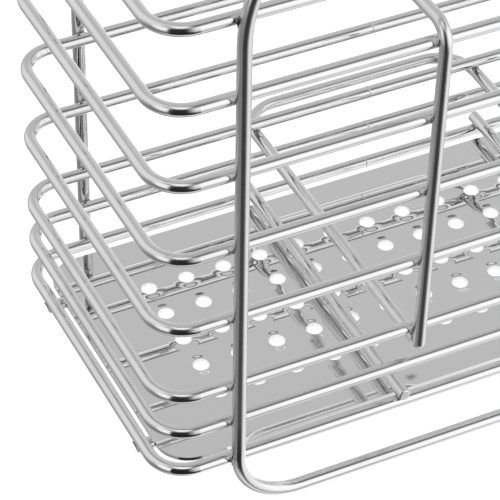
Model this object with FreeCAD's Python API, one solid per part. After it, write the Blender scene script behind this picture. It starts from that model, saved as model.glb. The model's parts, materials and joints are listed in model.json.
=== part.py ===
"""Wire basket rack for test tubes: stacked hoops, two arched frames, divider loops and a perforated floor.

Millimetres. +X runs along the rack's long side, +Y to its rear and +Z up. The origin is the centre of
the rack's footprint, at the underside of the front frame's foot rail.
"""
import FreeCAD, Part
import math
import os

# Wire stock
HOOP_WIRE = 3.0
FRAME_WIRE = 3.2

# Basket outline: the outside of the hoops, and the radius at the middle of the wire in their corners
BASKET_LENGTH = 190.0
BASKET_DEPTH = 85.0
HOOP_CORNER_RADIUS = 8.3

# Heights of the hoops' wire centres. The two lowest gaps are closer than the even pitch above them.
FIRST_HOOP_HEIGHT = 14.6
SECOND_HOOP_RISE = 11.7
THIRD_HOOP_RISE = 10.9
HOOP_PITCH = 20.0
EVEN_HOOPS = 5

# Arched frames on the front and the rear of the hoops
FRAME_SPAN = 153.0
FRAME_TOP_HEIGHT = 167.9
FRAME_ARCH_RADIUS = 36.0
FRAME_FOOT_RADIUS = 15.5

# Divider wires: the upper loop carries the front legs, the lower loop is a flat U
LOOP_FOOT_SPAN = BASKET_LENGTH / 3 - 1.0
LOOP_TOP_SPAN = 59.4
LOOP_REACH_BEHIND_HOOPS = 9.5
LOOP_REAR_RADIUS = 10.0
LEG_TOP_RADIUS = 5.0
LEG_TIP_BELOW_THIRD_HOOP = 4.0

# Floor
CROSS_WIRE_SPAN = 66.4
CROSS_WIRE_OVERHANG = 2.0
BEARER_SPACING = 52.8
BEARER_OVERHANG = 0.5
PLATE_INSET = 3.0
PLATE_FRONT_INSET = 3.45
PLATE_THICKNESS = 0.9
PLATE_CORNER_RADIUS = 8.0
HOLE_DIAMETER = 4.0
HOLE_PITCH = 10.0
HOLE_COLUMNS = 15
HOLE_ROWS = 5

TIP_ROUNDING = 0.4
LEG_TIP_ROUNDING = 1.3

# Worked out from the dimensions above
LENGTH = BASKET_LENGTH - HOOP_WIRE
DEPTH = BASKET_DEPTH - HOOP_WIRE
HOOP_HEIGHTS = [FIRST_HOOP_HEIGHT, FIRST_HOOP_HEIGHT + SECOND_HOOP_RISE]
HOOP_HEIGHTS.append(HOOP_HEIGHTS[-1] + THIRD_HOOP_RISE)
for _ in range(EVEN_HOOPS):
    HOOP_HEIGHTS.append(HOOP_HEIGHTS[-1] + HOOP_PITCH)
THIRD_HOOP_HEIGHT = HOOP_HEIGHTS[2]
LOOP_HOOP_HEIGHT = HOOP_HEIGHTS[-2]

# The front frame and the rear loops reach different distances, so the hoops sit off the footprint's centre
FRONT_REACH = DEPTH / 2 + (HOOP_WIRE + FRAME_WIRE) / 2 + FRAME_WIRE / 2
REAR_REACH = DEPTH / 2 + LOOP_REACH_BEHIND_HOOPS + HOOP_WIRE / 2
CENTRE_Y = (FRONT_REACH - REAR_REACH) / 2
FRONT_Y = CENTRE_Y - DEPTH / 2
REAR_Y = CENTRE_Y + DEPTH / 2
FRAME_FRONT_Y = FRONT_Y - (HOOP_WIRE + FRAME_WIRE) / 2
FRAME_REAR_Y = REAR_Y + (HOOP_WIRE + FRAME_WIRE) / 2
LOOP_REAR_Y = REAR_Y + LOOP_REACH_BEHIND_HOOPS

V = FreeCAD.Vector
UP = V(0, 0, 1)


def bent_path(points, radii, closed=False):
    """A wire of straight runs, with a tangent arc of the given radius at each inner point."""
    count = len(points)
    corners = range(count) if closed else range(1, count - 1)
    cuts = {}
    for i in corners:
        before = (points[i - 1] - points[i]).normalize()
        after = (points[(i + 1) % count] - points[i]).normalize()
        half_angle = before.getAngle(after) / 2
        setback = radii[i] / math.tan(half_angle)
        middle_way = (before + after).normalize()
        middle = points[i] + middle_way * (radii[i] / math.sin(half_angle) - radii[i])
        cuts[i] = (points[i] + before * setback, middle, points[i] + after * setback)
    edges = []
    for i in range(count if closed else count - 1):
        j = (i + 1) % count
        start = cuts[i][2] if i in cuts else points[i]
        end = cuts[j][0] if j in cuts else points[j]
        if start.distanceToPoint(end) > 1e-6:
            edges.append(Part.LineSegment(start, end).toShape())
        if j in cuts:
            edges.append(Part.Arc(*cuts[j]).toShape())
    return Part.Wire(edges)


def round_wire(path, diameter):
    """Round stock swept along a path, as one solid."""
    first = path.OrderedEdges[0]
    start = first.valueAt(first.FirstParameter)
    way = first.tangentAt(first.FirstParameter)
    section = Part.Wire([Part.makeCircle(diameter / 2, start, way)])
    solid = path.makePipeShell([section], True, False)
    if solid.Volume < 0:
        solid.reverse()
    expected = math.pi * diameter ** 2 / 4 * path.Length
    if not solid.isValid() or abs(solid.Volume / expected - 1) > 0.01:
        raise RuntimeError("the swept wire came out wrong")
    return solid


def round_tips(solid, tips, radius=TIP_ROUNDING):
    """The same solid with the sharp rims of its cut wire ends rounded over."""
    rims = [e for e in solid.Edges for tip in tips if (e.CenterOfMass - tip).Length < 1e-3]
    return solid.makeFillet(radius, rims)


def straight_wire(start, end, diameter):
    """A cut length of straight wire with rounded rims."""
    rod = Part.makeCylinder(diameter / 2, start.distanceToPoint(end), start, end - start)
    return round_tips(rod, [start, end])


def hoop(height):
    """One closed hoop, bent as a rounded rectangle and butt welded in the middle of its rear side."""
    half = LENGTH / 2
    corners = [V(half, REAR_Y, height), V(half, FRONT_Y, height),
               V(-half, FRONT_Y, height), V(-half, REAR_Y, height)]
    right = bent_path([V(0, REAR_Y, height)] + corners[:2] + [V(0, FRONT_Y, height)],
                      [0, HOOP_CORNER_RADIUS, HOOP_CORNER_RADIUS, 0])
    left = bent_path([V(0, FRONT_Y, height)] + corners[2:] + [V(0, REAR_Y, height)],
                     [0, HOOP_CORNER_RADIUS, HOOP_CORNER_RADIUS, 0])
    return round_wire(right, HOOP_WIRE).fuse(round_wire(left, HOOP_WIRE)).removeSplitter()


def front_frame():
    """The closed front frame: two legs, an arched handle over the rim and a foot rail under the basket."""
    half = FRAME_SPAN / 2
    foot = FRAME_WIRE / 2
    halves = []
    for side in (-1, 1):
        points = [V(0, FRAME_FRONT_Y, foot), V(side * half, FRAME_FRONT_Y, foot),
                  V(side * half, FRAME_FRONT_Y, FRAME_TOP_HEIGHT), V(0, FRAME_FRONT_Y, FRAME_TOP_HEIGHT)]
        halves.append(round_wire(bent_path(points, [0, FRAME_FOOT_RADIUS, FRAME_ARCH_RADIUS, 0]), FRAME_WIRE))
    return halves[0].fuse(halves[1]).removeSplitter()


def rear_frame():
    """The rear frame: the same arch, with legs that stop at the lowest hoop."""
    half = FRAME_SPAN / 2
    tip = FIRST_HOOP_HEIGHT - HOOP_WIRE / 2
    points = [V(-half, FRAME_REAR_Y, tip), V(-half, FRAME_REAR_Y, FRAME_TOP_HEIGHT),
              V(half, FRAME_REAR_Y, FRAME_TOP_HEIGHT), V(half, FRAME_REAR_Y, tip)]
    frame = round_wire(bent_path(points, [0, FRAME_ARCH_RADIUS, FRAME_ARCH_RADIUS, 0]), FRAME_WIRE)
    return round_tips(frame, [points[0], points[-1]])


def hanger_loop():
    """One wire: two front legs, two arms over the second hoop from the top, and a bar behind the rack.

    The leg's top bend is centred level with that hoop's wire, which nests inside it, and from there
    the arm falls slightly to lie on the same hoop's rear side.
    """
    leg_y = FRONT_Y - HOOP_WIRE
    front_z = LOOP_HOOP_HEIGHT + LEG_TOP_RADIUS
    fall = (LEG_TOP_RADIUS - HOOP_WIRE) / (REAR_Y - leg_y)
    rear_z = front_z - fall * (LOOP_REAR_Y - leg_y)
    tip_z = THIRD_HOOP_HEIGHT - LEG_TIP_BELOW_THIRD_HOOP
    foot = LOOP_FOOT_SPAN / 2
    top = LOOP_TOP_SPAN / 2
    points = [V(-foot, leg_y, tip_z), V(-top, leg_y, front_z), V(-top, LOOP_REAR_Y, rear_z),
              V(top, LOOP_REAR_Y, rear_z), V(top, leg_y, front_z), V(foot, leg_y, tip_z)]
    radii = [0, LEG_TOP_RADIUS, LOOP_REAR_RADIUS, LOOP_REAR_RADIUS, LEG_TOP_RADIUS, 0]
    loop = round_wire(bent_path(points, radii), HOOP_WIRE)
    return round_tips(loop, [points[0], points[-1]], LEG_TIP_ROUNDING)


def spacer_loop():
    """A flat U under the third hoop: two divider arms, and a bar behind the rack that stands it off a wall."""
    arm_z = THIRD_HOOP_HEIGHT - HOOP_WIRE
    front = FRONT_Y - HOOP_WIRE / 2
    half = LOOP_FOOT_SPAN / 2
    points = [V(-half, front, arm_z), V(-half, LOOP_REAR_Y, arm_z),
              V(half, LOOP_REAR_Y, arm_z), V(half, front, arm_z)]
    return round_wire(bent_path(points, [0, LOOP_REAR_RADIUS, LOOP_REAR_RADIUS, 0]), HOOP_WIRE)


def floor_cross_wire(side):
    """A short wire from front to rear on top of the lowest hoop, under one divider."""
    x = side * CROSS_WIRE_SPAN / 2
    z = FIRST_HOOP_HEIGHT + HOOP_WIRE
    return straight_wire(V(x, FRONT_Y - CROSS_WIRE_OVERHANG, z), V(x, REAR_Y + CROSS_WIRE_OVERHANG, z), HOOP_WIRE)


def floor_bearer(side):
    """A long wire under the lowest hoop that carries the floor plate."""
    x = LENGTH / 2 + BEARER_OVERHANG
    y = CENTRE_Y + side * BEARER_SPACING / 2
    z = FIRST_HOOP_HEIGHT - HOOP_WIRE
    return straight_wire(V(-x, y, z), V(x, y, z), HOOP_WIRE)


def floor_plate():
    """The sheet floor inside the lowest hoop, with rounded corners and a grid of drain holes."""
    length = LENGTH - 2 * PLATE_INSET
    depth = DEPTH - PLATE_INSET - PLATE_FRONT_INSET
    front = CENTRE_Y - DEPTH / 2 + PLATE_FRONT_INSET
    bottom = FIRST_HOOP_HEIGHT - HOOP_WIRE / 2
    plate = Part.makeBox(length, depth, PLATE_THICKNESS, V(-length / 2, front, bottom))
    upright = [e for e in plate.Edges if abs(e.tangentAt(e.FirstParameter).dot(UP)) > 0.99]
    plate = plate.makeFillet(PLATE_CORNER_RADIUS, upright)
    drills = []
    for column in range(HOLE_COLUMNS):
        for row in range(HOLE_ROWS):
            x = (column - (HOLE_COLUMNS - 1) / 2) * HOLE_PITCH
            y = CENTRE_Y + (row - (HOLE_ROWS - 1) / 2) * HOLE_PITCH
            drills.append(Part.makeCylinder(HOLE_DIAMETER / 2, 3 * PLATE_THICKNESS, V(x, y, bottom - PLATE_THICKNESS)))
    return plate.cut(Part.makeCompound(drills))


def build():
    """Every piece of the rack by node name."""
    pieces = {f"hoop_{i + 1}": hoop(height) for i, height in enumerate(HOOP_HEIGHTS)}
    pieces["front_frame"] = front_frame()
    pieces["rear_frame"] = rear_frame()
    pieces["hanger_loop"] = hanger_loop()
    pieces["spacer_loop"] = spacer_loop()
    for name, side in (("left", -1), ("right", 1)):
        pieces[f"floor_cross_wire_{name}"] = floor_cross_wire(side)
    for name, side in (("front", -1), ("rear", 1)):
        pieces[f"floor_bearer_{name}"] = floor_bearer(side)
    pieces["floor_plate"] = floor_plate()
    return pieces


def single_solid(shape):
    """The one solid that a piece is made of."""
    if len(shape.Solids) != 1:
        raise RuntimeError("a piece is not one solid")
    return shape.Solids[0]


os.makedirs("parts", exist_ok=True)
for node, shape in build().items():
    solid = single_solid(shape)
    solid.exportStep(f"parts/{node}.step")
    box = solid.BoundBox
    print(f"{node:24s} volume {solid.Volume:9.1f}  x {box.XMin:7.2f} {box.XMax:7.2f}"
          f"  y {box.YMin:7.2f} {box.YMax:7.2f}  z {box.ZMin:7.2f} {box.ZMax:7.2f}  valid {solid.isValid()}")
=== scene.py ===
"""Looks for the wire rack: polished steel finishes, weld fillets, butt seams, studio light and camera."""
import json
import math

import bmesh
import bpy
from mathutils import Matrix, Vector


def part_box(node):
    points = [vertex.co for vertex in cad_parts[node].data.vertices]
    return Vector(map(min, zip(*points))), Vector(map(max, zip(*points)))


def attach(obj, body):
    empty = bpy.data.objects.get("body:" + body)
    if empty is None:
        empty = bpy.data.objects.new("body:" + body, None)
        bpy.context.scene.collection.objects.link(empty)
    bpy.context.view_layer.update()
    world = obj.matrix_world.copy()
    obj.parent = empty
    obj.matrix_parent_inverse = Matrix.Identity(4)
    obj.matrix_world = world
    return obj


MM = 0.001
X, Y, Z = Vector((1, 0, 0)), Vector((0, 1, 0)), Vector((0, 0, 1))

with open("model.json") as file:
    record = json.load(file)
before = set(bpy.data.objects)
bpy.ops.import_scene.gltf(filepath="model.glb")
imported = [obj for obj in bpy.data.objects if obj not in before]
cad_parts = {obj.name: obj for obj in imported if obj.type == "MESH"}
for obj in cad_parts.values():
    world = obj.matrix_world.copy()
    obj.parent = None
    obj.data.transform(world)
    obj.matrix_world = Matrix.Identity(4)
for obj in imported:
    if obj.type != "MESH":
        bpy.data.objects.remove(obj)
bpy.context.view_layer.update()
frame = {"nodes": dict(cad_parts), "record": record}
record = frame["record"]
nodes = frame["nodes"]


# ---------------------------------------------------------------- measurements read from the frame
def box(node):
    low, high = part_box(node)
    return Vector(low), Vector(high)


HOOPS = [f"hoop_{i}" for i in range(1, 9)]
low, high = box("hoop_1")
WIRE_R = (high.z - low.z) / 2
HOOP_X = high.x - WIRE_R
FRONT_Y = low.y + WIRE_R
REAR_Y = high.y - WIRE_R
CENTRE_Y = (FRONT_Y + REAR_Y) / 2
HOOP_Z = []
for name in HOOPS:
    low, high = box(name)
    HOOP_Z.append((low.z + high.z) / 2)
low, high = box("front_frame")
FRAME_R = (high.y - low.y) / 2
FRAME_X = high.x - FRAME_R
FRAME_FRONT_Y = (low.y + high.y) / 2
low, high = box("rear_frame")
FRAME_REAR_Y = (low.y + high.y) / 2
low, high = box("hanger_loop")
LEG_Y = low.y + WIRE_R
LEG_FOOT_X = high.x - WIRE_R
LEG_TIP_Z = low.z
HANGER_TOP_Z = high.z - WIRE_R
low, high = box("spacer_loop")
SPACER_X = high.x - WIRE_R
low, high = box("floor_cross_wire_right")
CROSS_X = (low.x + high.x) / 2
BEARER_Y = []
for name in ("floor_bearer_front", "floor_bearer_rear"):
    low, high = box(name)
    BEARER_Y.append((low.y + high.y) / 2)
PLATE_LOW, PLATE_HIGH = box("floor_plate")

# the design's values that a box can't give
HOLE_PITCH = 10 * MM
HOLE_R = 2 * MM
HOLE_COLUMNS = 15
HOLE_ROWS = 5
LEG_LEAN = 1.47 * MM    # how far each hanger leg leans in from its foot to its top bend
THIRD_HOOP, NEXT_TO_TOP_HOOP = 2, 6

# ---------------------------------------------------------------- chosen values
# steel: how much light each kind of piece gives back
HOOP_TONE, FRAME_TONE, LOOP_TONE, FLOOR_WIRE_TONE, SHEET_TONE = 0.74, 0.725, 0.73, 0.71, 0.77
# sheared edge colour: a painted highlight, near white so that the shaded edge reads as a bright line
SHEARED_EDGE_HIGHLIGHT = (0.98, 0.98, 0.98)
HOLE_WALL = (0.97, 0.97, 0.97)
# weld colours: painted shade for the creases where two wires are welded together
WELD_SHADE_DARK, WELD_SHADE_PALE = (0.14, 0.137, 0.133), (0.30, 0.297, 0.292)

# wire: roughness at the rear and at the front, on the much handled wires too, and where it changes
REAR_ROUGHNESS, FRONT_ROUGHNESS, HANDLED_ROUGHNESS = 0.02, 0.15, 0.27
HANDLED_FROM_Y = -30.0 * MM
HANDLED_LOW_Z, HANDLED_HIGH_Z = 9.0 * MM, 33.0 * MM

# sheet: raised rims round the holes, the front strip's droop, and one tack weld on each side
RIM_IN, RIM_OUT, RIM_LIFT = 0.5 * MM, 2.1 * MM, 0.045 * MM
WAVE_LIFT = 0.025 * MM
DROOP_REACH, DROOP_CURVE = 24.0 * MM, 0.68
TACK_X, TACK_FROM_FRONT = 27.0 * MM, 6.3 * MM
TACK_LENGTH, TACK_WIDTH, TACK_DENT = 1.7 * MM, 1.1 * MM, 0.08 * MM
SKIN = 0.02 * MM

# welds: the largest gap between two wires that the squeezed-out metal fills, and the butt weld's collar
FILLET, FRAME_FILLET, HANGER_TOP_FILLET = 0.8 * MM, 0.85 * MM, 0.7 * MM
FILLET_REACH = 1.9 * MM
FILLET_SINK = 0.06 * MM
BUTT_SINK, BUTT_STAND, BUTT_LENGTH, BUTT_X = 0.03 * MM, 0.07 * MM, 0.5 * MM, 0.2 * MM

# camera
CAMERA_PLACE = Vector((-267.5, -435.8, 450.6)) * MM
CAMERA_TARGET = Vector((-73.0, -44.15, 75.0)) * MM
CAMERA_LENS = 194.4
CAMERA_ROLL = math.radians(1.0)


# ---------------------------------------------------------------- small node helpers
class Graph:
    """Short-hand for building one node tree."""

    def __init__(self, tree):
        self.tree = tree
        tree.nodes.clear()

    def node(self, kind, **settings):
        made = self.tree.nodes.new(kind)
        for key, value in settings.items():
            setattr(made, key, value)
        return made

    def link(self, source, target):
        self.tree.links.new(source, target)

    def feed(self, socket, value):
        if isinstance(value, bpy.types.NodeSocket):
            self.link(value, socket)
        else:
            socket.default_value = value

    def math(self, operation, a, b=0.0):
        made = self.node("ShaderNodeMath", operation=operation)
        self.feed(made.inputs[0], a)
        self.feed(made.inputs[1], b)
        return made.outputs[0]

    def total(self, *terms):
        value = terms[0]
        for term in terms[1:]:
            value = self.math("ADD", value, term)
        return value

    def times(self, *factors):
        value = factors[0]
        for factor in factors[1:]:
            value = self.math("MULTIPLY", value, factor)
        return value

    def length(self, a, b):
        return self.math("SQRT", self.total(self.times(a, a), self.times(b, b)))

    def dot(self, a, b):
        made = self.node("ShaderNodeVectorMath", operation="DOT_PRODUCT")
        self.feed(made.inputs[0], a)
        self.feed(made.inputs[1], b)
        return made.outputs["Value"]

    def split(self, vector):
        made = self.node("ShaderNodeSeparateXYZ")
        self.link(vector, made.inputs[0])
        return made.outputs

    def ramp(self, value, low, high, to_low=0.0, to_high=1.0):
        """A smooth step from to_low at low to to_high at high; low may be the larger of the two."""
        if low > high:
            low, high, to_low, to_high = high, low, to_high, to_low
        made = self.node("ShaderNodeMapRange", interpolation_type="SMOOTHSTEP", clamp=True)
        self.feed(made.inputs["Value"], value)
        made.inputs["From Min"].default_value = low
        made.inputs["From Max"].default_value = high
        made.inputs["To Min"].default_value = to_low
        made.inputs["To Max"].default_value = to_high
        return made.outputs["Result"]

    def mix(self, factor, a, b):
        made = self.node("ShaderNodeMix", data_type="FLOAT")
        self.feed(made.inputs["Factor"], factor)
        self.feed(made.inputs["A"], a)
        self.feed(made.inputs["B"], b)
        return made.outputs["Result"]

    def mix_colour(self, factor, a, b):
        made = self.node("ShaderNodeMix", data_type="RGBA")
        self.feed(made.inputs["Factor"], factor)
        for socket, value in ((made.inputs[6], a), (made.inputs[7], b)):
            self.feed(socket, value if isinstance(value, bpy.types.NodeSocket) else (*value, 1.0))
        return made.outputs[2]

    def noise(self, vector, scale, detail=3.0, roughness=0.5):
        made = self.node("ShaderNodeTexNoise")
        self.feed(made.inputs["Vector"], vector)
        made.inputs["Scale"].default_value = scale
        made.inputs["Detail"].default_value = detail
        made.inputs["Roughness"].default_value = roughness
        return made.outputs["Fac"]


# ---------------------------------------------------------------- finishes
def material(name):
    made = bpy.data.materials.new(name)
    made.use_nodes = True
    graph = Graph(made.node_tree)
    shader = graph.node("ShaderNodeBsdfPrincipled")
    output = graph.node("ShaderNodeOutputMaterial")
    graph.link(shader.outputs["BSDF"], output.inputs["Surface"])
    place = graph.node("ShaderNodeTexCoord").outputs["Object"]
    return made, graph, shader, place


def bump(graph, shader, height):
    """Surface relief from a height in metres."""
    made = graph.node("ShaderNodeBump")
    made.inputs["Strength"].default_value = 1.0
    made.inputs["Distance"].default_value = 1.0
    graph.link(height, made.inputs["Height"])
    graph.link(made.outputs["Normal"], shader.inputs["Normal"])


def polished_wire(name, tone, front_roughness=FRONT_ROUGHNESS):
    """Bright electropolished wire: soft drawing marks and faint stains. The handled front side is less glossy."""
    made, graph, shader, place = material(name)
    _, y, z = graph.split(place)
    stain = graph.noise(place, 60.0, 4.0, 0.6)
    fine = graph.noise(place, 900.0, 2.0, 0.5)

    light = (tone, tone, tone)
    dull = (tone * 0.95, tone * 0.95, tone * 0.948)
    graph.link(graph.mix_colour(graph.ramp(stain, 0.45, 0.7), light, dull), shader.inputs["Base Color"])
    shader.inputs["Metallic"].default_value = 1.0

    handled = graph.times(graph.ramp(y, HANDLED_FROM_Y, FRONT_Y, REAR_ROUGHNESS, front_roughness),
                          graph.ramp(z, HANDLED_LOW_Z, HANDLED_HIGH_Z, 0.3, 1.0))
    graph.link(graph.total(graph.ramp(stain, 0.35, 0.75, 0.0, 0.025), handled), shader.inputs["Roughness"])
    bump(graph, shader, graph.total(graph.times(stain, 2e-6), graph.times(fine, 2e-7)))
    return made


def polished_sheet(name, tone):
    """Mirror-polished sheet with holes.

    The punched holes' rims rise a little, the strip along the front edge droops, and a tack weld on each
    side leaves a dark dent. The sheared edge is coloured near white as a painted highlight, and the holes' walls
    are pale and dull.
    """
    made, graph, shader, place = material(name)
    x, y, z = graph.split(place)
    fine = graph.noise(place, 700.0, 2.0, 0.5)

    def from_nearest_hole(value, centre, count):
        reach = (count - 1) / 2
        index = graph.math("ROUND", graph.math("DIVIDE", graph.math("SUBTRACT", value, centre), HOLE_PITCH))
        index = graph.math("MAXIMUM", graph.math("MINIMUM", index, reach), -reach)
        return graph.math("SUBTRACT", value, graph.total(graph.times(index, HOLE_PITCH), centre))

    def part_of(value, centre, size):
        return graph.math("DIVIDE", graph.math("SUBTRACT", value, centre), size)

    distance = graph.length(from_nearest_hole(x, 0.0, HOLE_COLUMNS), from_nearest_hole(y, CENTRE_Y, HOLE_ROWS))
    rim = graph.ramp(distance, HOLE_R - RIM_IN, HOLE_R + RIM_OUT, 1.0, 0.0)
    spot = graph.length(part_of(graph.math("ABSOLUTE", x), TACK_X, TACK_LENGTH),
                        part_of(y, FRONT_Y + TACK_FROM_FRONT, TACK_WIDTH))
    tack = graph.ramp(spot, 0.1, 1.2, 1.0, 0.0)
    ahead = graph.math("MAXIMUM", graph.math("SUBTRACT", FRONT_Y + DROOP_REACH, y), 0.0)
    bump(graph, shader, graph.total(
        graph.times(rim, RIM_LIFT),
        graph.times(graph.noise(place, 22.0, 1.0, 0.4), WAVE_LIFT),
        graph.times(tack, -TACK_DENT),
        graph.times(fine, 3e-8),
        graph.times(ahead, ahead, -DROOP_CURVE)))

    off_middle = graph.math("ABSOLUTE", graph.math("SUBTRACT", z, (PLATE_LOW.z + PLATE_HIGH.z) / 2))
    on_face = graph.math("GREATER_THAN", off_middle, (PLATE_HIGH.z - PLATE_LOW.z) / 2 - SKIN)
    off_hole = graph.math("GREATER_THAN", distance, HOLE_R + SKIN)
    light = (tone, tone, tone)
    dark = (tone * 0.34, tone * 0.34, tone * 0.33)
    colour = graph.mix_colour(graph.times(tack, 0.8), light, dark)
    # painted highlight: the sheared edge is coloured near white, though the wire in front shades it
    colour = graph.mix_colour(on_face, SHEARED_EDGE_HIGHLIGHT, colour)
    graph.link(graph.mix_colour(off_hole, HOLE_WALL, colour), shader.inputs["Base Color"])
    graph.link(off_hole, shader.inputs["Metallic"])
    roughness = graph.mix(on_face, 0.14, graph.ramp(fine, 0.3, 0.7, 0.01, 0.018))
    graph.link(graph.mix(off_hole, 0.8, roughness), shader.inputs["Roughness"])
    return made


def weld_painted_shade(name):
    """Resistance-weld metal squeezed out between two wires: finely rippled, only half bright, and coloured dark
    as painted shade in the crease where the wires meet.
    """
    made, graph, shader, place = material(name)
    ripple = graph.noise(place, 1800.0, 3.0, 0.6)
    # painted shade: the weld metal is coloured dark where the joint between the wires falls in shade
    graph.link(graph.mix_colour(graph.ramp(ripple, 0.3, 0.7), WELD_SHADE_DARK, WELD_SHADE_PALE), shader.inputs["Base Color"])
    shader.inputs["Metallic"].default_value = 1.0
    graph.link(graph.ramp(ripple, 0.3, 0.7, 0.18, 0.34), shader.inputs["Roughness"])
    bump(graph, shader, graph.times(ripple, 6e-5))
    return made


# ---------------------------------------------------------------- weld shapes
def add_piece(name, mesh_builder, finish):
    shape = bmesh.new()
    mesh_builder(shape)
    bmesh.ops.recalc_face_normals(shape, faces=shape.faces)
    mesh = bpy.data.meshes.new(name)
    shape.to_mesh(mesh)
    shape.free()
    for face in mesh.polygons:
        face.use_smooth = True
    mesh.materials.append(finish)
    piece = bpy.data.objects.new(name, mesh)
    bpy.context.scene.collection.objects.link(piece)
    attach(piece, "root")


def skin_rings(shape, rings):
    """Four-sided faces between each ring of points and the next, and back to the first."""
    for here, there in zip(rings, rings[1:] + rings[:1]):
        for j in range(len(here) - 1):
            shape.faces.new((here[j], there[j], there[j + 1], here[j + 1]))


def drop(radius, offset):
    """How far a wire's surface falls away from its tangent plane, this far off its axis."""
    offset = min(abs(offset), radius * 0.995)
    return radius - math.sqrt(radius * radius - offset * offset)


def weld_fillet(shape, contact, normal, axis_a, axis_b, radius_a, radius_b, gap=FILLET, seed=0):
    """A ring of squeezed-out metal round the spot where two crossing wires touch.

    normal points from wire a to wire b. The ring's rim follows both wires, and its side is hollow.
    """
    around, across, halvings, hollowness = 28, 6, 24, 0.30
    normal = normal.normalized()
    first = axis_a.normalized()
    second = normal.cross(first)
    angle_b = math.atan2(axis_b.dot(second), axis_b.dot(first))
    rings = []
    for i in range(around):
        angle = 2 * math.pi * i / around
        way = first * math.cos(angle) + second * math.sin(angle)
        wobble = 1 + 0.07 * math.sin(3 * angle + seed * 1.7) + 0.05 * math.sin(7 * angle + seed * 2.9)
        # how far out this way the gap between the two wires reaches its limit
        near, far = 0.0, FILLET_REACH
        for _ in range(halvings):
            middle = (near + far) / 2
            fall = drop(radius_a, middle * math.sin(angle)) + drop(radius_b, middle * math.sin(angle - angle_b))
            near, far = (middle, far) if fall < gap * wobble else (near, middle)
        reach = near
        below = -drop(radius_a, reach * math.sin(angle)) - FILLET_SINK
        above = drop(radius_b, reach * math.sin(angle - angle_b)) + FILLET_SINK
        ring = []
        for j in range(across + 1):
            part = j / across
            hollow = hollowness * 4 * part * (1 - part)
            point = contact + way * reach * (1 - hollow) + normal * (below + (above - below) * part)
            ring.append(shape.verts.new(point))
        rings.append(ring)
    skin_rings(shape, rings)
    for j in (0, across):
        shape.faces.new([ring[j] for ring in rings])


def collar(shape, centre, axis, inner, outer, length):
    """A thin rounded collar round a wire, as a butt weld leaves."""
    around, across = 40, 8
    axis = axis.normalized()
    side = axis.orthogonal().normalized()
    other = axis.cross(side)
    rings = []
    for i in range(around):
        angle = 2 * math.pi * i / around
        way = side * math.cos(angle) + other * math.sin(angle)
        ring = []
        for j in range(across + 1):
            part = j / across
            lift = math.sin(math.pi * part) ** 0.7
            height = inner + (outer - inner) * lift * (1 + 0.2 * math.sin(5 * angle + 1))
            ring.append(shape.verts.new(centre + way * height + axis * length * (part - 0.5)))
        rings.append(ring)
    skin_rings(shape, rings)


def frame_welds(shape, frame_y, hoop_y):
    way = Y if hoop_y > frame_y else -Y
    for side in (-1, 1):
        for number, z in enumerate(HOOP_Z):
            contact = Vector((side * FRAME_X, frame_y, z)) + way * FRAME_R
            weld_fillet(shape, contact, way, Z, X, FRAME_R, WIRE_R, FRAME_FILLET, number + side)


def hanger_welds(shape):
    for side in (-1, 1):
        foot = Vector((side * LEG_FOOT_X, LEG_Y, LEG_TIP_Z))
        top = Vector((side * (LEG_FOOT_X - LEG_LEAN), LEG_Y, HANGER_TOP_Z))
        for number, z in enumerate(HOOP_Z[THIRD_HOOP:NEXT_TO_TOP_HOOP + 1]):
            on_leg = foot.lerp(top, (z - foot.z) / (top.z - foot.z))
            contact = Vector((on_leg.x, LEG_Y + WIRE_R, z))
            weld_fillet(shape, contact, Y, top - foot, X, WIRE_R, WIRE_R, seed=number + 3 * side)
        contact = Vector((top.x, REAR_Y, HOOP_Z[NEXT_TO_TOP_HOOP] + WIRE_R))
        weld_fillet(shape, contact, Z, X, Y, WIRE_R, WIRE_R, HANGER_TOP_FILLET, 5 + side)


def spacer_welds(shape):
    for side in (-1, 1):
        for y in (FRONT_Y, REAR_Y):
            contact = Vector((side * SPACER_X, y, HOOP_Z[THIRD_HOOP] - WIRE_R))
            weld_fillet(shape, contact, Z, Y, X, WIRE_R, WIRE_R, seed=side)


def floor_welds(shape):
    for side in (-1, 1):
        for y in (FRONT_Y, REAR_Y):
            contact = Vector((side * CROSS_X, y, HOOP_Z[0] + WIRE_R))
            weld_fillet(shape, contact, Z, X, Y, WIRE_R, WIRE_R, seed=side + 2)
        for y in BEARER_Y:
            contact = Vector((side * HOOP_X, y, HOOP_Z[0] - WIRE_R))
            weld_fillet(shape, contact, Z, X, Y, WIRE_R, WIRE_R, seed=side + 4)


def butt_welds(shape):
    for z in HOOP_Z:
        collar(shape, Vector((BUTT_X, REAR_Y, z)), X, WIRE_R - BUTT_SINK, WIRE_R + BUTT_STAND, BUTT_LENGTH)


# ---------------------------------------------------------------- finishes on the pieces
finishes = {
    "hoop_wire": polished_wire("hoop_steel", HOOP_TONE),
    "frame_wire": polished_wire("frame_steel", FRAME_TONE, HANDLED_ROUGHNESS),
    "loop_wire": polished_wire("loop_steel", LOOP_TONE, HANDLED_ROUGHNESS),
    "floor_wire": polished_wire("floor_wire_steel", FLOOR_WIRE_TONE),
    "floor_sheet": polished_sheet("sheet_steel", SHEET_TONE),
}
for entry in record["subparts"]:
    piece = nodes[entry["node"]]
    piece.data.materials.clear()
    piece.data.materials.append(finishes[entry["material_slot"]])

weld = weld_painted_shade("weld_steel_painted_shade")
add_piece("front_frame_welds", lambda s: frame_welds(s, FRAME_FRONT_Y, FRONT_Y), weld)
add_piece("rear_frame_welds", lambda s: frame_welds(s, FRAME_REAR_Y, REAR_Y), weld)
add_piece("hanger_loop_welds", hanger_welds, weld)
add_piece("spacer_loop_welds", spacer_welds, weld)
add_piece("floor_welds", floor_welds, weld)
add_piece("hoop_butt_welds", butt_welds, finishes["hoop_wire"])


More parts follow.
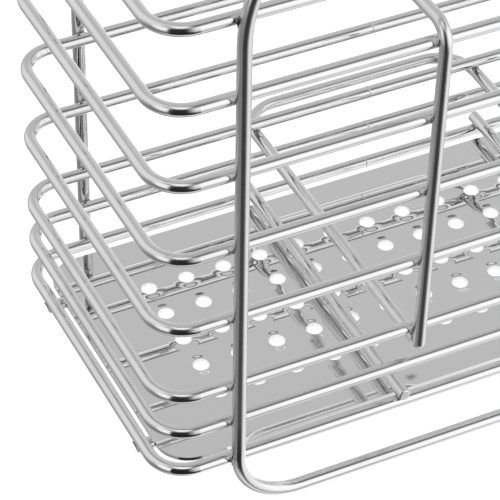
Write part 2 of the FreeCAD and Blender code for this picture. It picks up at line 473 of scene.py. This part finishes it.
# ---------------------------------------------------------------- floor, light and camera
def add_floor():
    """A plain pale floor just under the rack, which the polished wires don't see."""
    reach, gap = 3.0, 0.2 * MM
    corners = [(-reach, -reach, 0), (reach, -reach, 0), (reach, reach, 0), (-reach, reach, 0)]
    mesh = bpy.data.meshes.new("floor")
    mesh.from_pydata(corners, [], [(0, 1, 2, 3)])
    floor = bpy.data.objects.new("floor", mesh)
    floor.location.z = -gap
    bpy.context.scene.collection.objects.link(floor)
    made, graph, shader, place = material("floor_white")
    grain = graph.noise(place, 40.0)
    graph.link(graph.mix_colour(grain, (0.30, 0.30, 0.30), (0.33, 0.33, 0.33)), shader.inputs["Base Color"])
    shader.inputs["Roughness"].default_value = 0.9
    shader.inputs["Specular IOR Level"].default_value = 0.0
    shader.inputs["Emission Color"].default_value = (1, 1, 1, 1)
    shader.inputs["Emission Strength"].default_value = 0.85
    mesh.materials.append(made)
    floor.visible_glossy = False


def studio_dome():
    """What the polished wires reflect: a grey room, a dim ceiling, a bright box overhead and a dark figure.

    x, y and z are the parts of the direction looked in. A patch is a round area: the way to its middle, the
    angles from there in degrees where it stops being full and where it ends, and its level.
    """
    world = bpy.data.worlds.new("studio")
    bpy.context.scene.world = world
    world.use_nodes = True
    graph = Graph(world.node_tree)
    way = graph.node("ShaderNodeTexCoord").outputs["Generated"]
    x, y, z = graph.split(way)

    def patch(value, towards, inner, outer, level):
        facing = graph.dot(way, tuple(Vector(towards).normalized()))
        inside = graph.ramp(facing, math.cos(math.radians(outer)), math.cos(math.radians(inner)))
        return graph.mix(inside, value, level)

    # behind the rack: grey wall, lighter to the left and on the right, dark low on the left, bright table
    rear = graph.mix(graph.ramp(x, 0.05, -0.5), 0.51, 0.76)
    rear = graph.total(rear, graph.times(graph.ramp(z, 0.85, 0.1), graph.ramp(x, 0.0, 0.6), 0.15))
    rear = graph.total(rear, graph.times(graph.ramp(z, 0.1, -0.65), graph.ramp(x, 0.2, -0.2), -0.31))
    rear = graph.mix(graph.times(graph.ramp(z, -0.15, -0.45), graph.ramp(x, 0.12, 0.3)), rear, 1.1)
    # in front: table, bright wall, dim ceiling
    table = graph.mix(graph.ramp(z, -0.95, -0.65), 0.76, 0.86)
    wall = graph.mix(graph.ramp(z, -0.55, 0.1), table, 1.10)
    front = graph.mix(graph.ramp(z, 0.53, 0.88), wall, 0.12)
    value = graph.mix(graph.ramp(y, -0.34, 0.06), front, rear)
    # low on the left a wide dim area, which leaves out what is straight down
    dim = patch(value, (-0.72, -0.26, -0.64), 12, 78, 0.20)
    value = graph.mix(graph.ramp(z, -0.92, -0.68), value, dim)
    # the box overhead, a light on the left, and a small grey area low behind
    value = patch(value, (-0.17, -0.334, 0.927), 9, 20, 1.0)
    value = patch(value, (-0.86, -0.44, 0.26), 14, 34, 0.95)
    value = patch(value, (0.35, 0.37, -0.86), 3, 9, 0.45)

    # the dark figure in the front left, from below the table to eye height: one side of it is sharp, and
    # the other is soft and reaches further low down
    middle = math.radians(241.5)
    ahead = graph.dot(way, (math.cos(middle), math.sin(middle), 0))
    aside = graph.dot(way, (-math.sin(middle), math.cos(middle), 0))
    turn = graph.math("ARCTAN2", aside, ahead)
    turn_low = graph.math("SUBTRACT", turn, graph.ramp(z, -0.1, -0.65, 0.0, math.radians(22)))
    figure = graph.times(graph.ramp(turn, math.radians(-28), math.radians(-23)),
                         graph.ramp(turn_low, math.radians(50), math.radians(14)),
                         graph.ramp(z, 0.80, 0.62), graph.ramp(z, -0.92, -0.75))
    value = graph.mix(figure, value, 0.018)

    # reflections see the room; everything else is lit by an even white
    room = graph.node("ShaderNodeBackground")
    graph.link(value, room.inputs["Color"])
    room.inputs["Strength"].default_value = 1.22
    plain = graph.node("ShaderNodeBackground")
    plain.inputs["Color"].default_value = (1, 1, 1, 1)
    plain.inputs["Strength"].default_value = 0.75
    path = graph.node("ShaderNodeLightPath")
    mixed = graph.node("ShaderNodeMixShader")
    graph.link(path.outputs["Is Glossy Ray"], mixed.inputs["Fac"])
    graph.link(plain.outputs[0], mixed.inputs[1])
    graph.link(room.outputs[0], mixed.inputs[2])
    output = graph.node("ShaderNodeOutputWorld")
    graph.link(mixed.outputs[0], output.inputs["Surface"])


def add_softbox(name, place, target, size, power):
    light = bpy.data.lights.new(name, "AREA")
    light.shape = "SQUARE"
    light.size = size
    light.energy = power
    lamp = bpy.data.objects.new(name, light)
    lamp.location = place
    lamp.rotation_euler = (Vector(target) - Vector(place)).to_track_quat("-Z", "Y").to_euler()
    lamp.visible_glossy = False
    bpy.context.scene.collection.objects.link(lamp)


def add_camera():
    """A long lens, close in on the left end, turned a little off level."""
    data = bpy.data.cameras.new("camera")
    data.sensor_width = 36.0
    data.lens = CAMERA_LENS
    data.clip_start = 0.01
    data.clip_end = 20.0
    camera = bpy.data.objects.new("camera", data)
    aim = (CAMERA_TARGET - CAMERA_PLACE).to_track_quat("-Z", "Y").to_matrix()
    turn = Matrix.Rotation(CAMERA_ROLL, 3, "Z")
    camera.matrix_world = Matrix.Translation(CAMERA_PLACE) @ (aim @ turn).to_4x4()
    bpy.context.scene.collection.objects.link(camera)
    bpy.context.scene.camera = camera


add_floor()
studio_dome()
add_softbox("key", (-0.5, -0.6, 1.1), (0, 0, 0.05), 1.0, 9.0)
add_camera()
bpy.context.scene.view_settings.view_transform = "Standard"
bpy.context.scene.view_settings.look = "None"
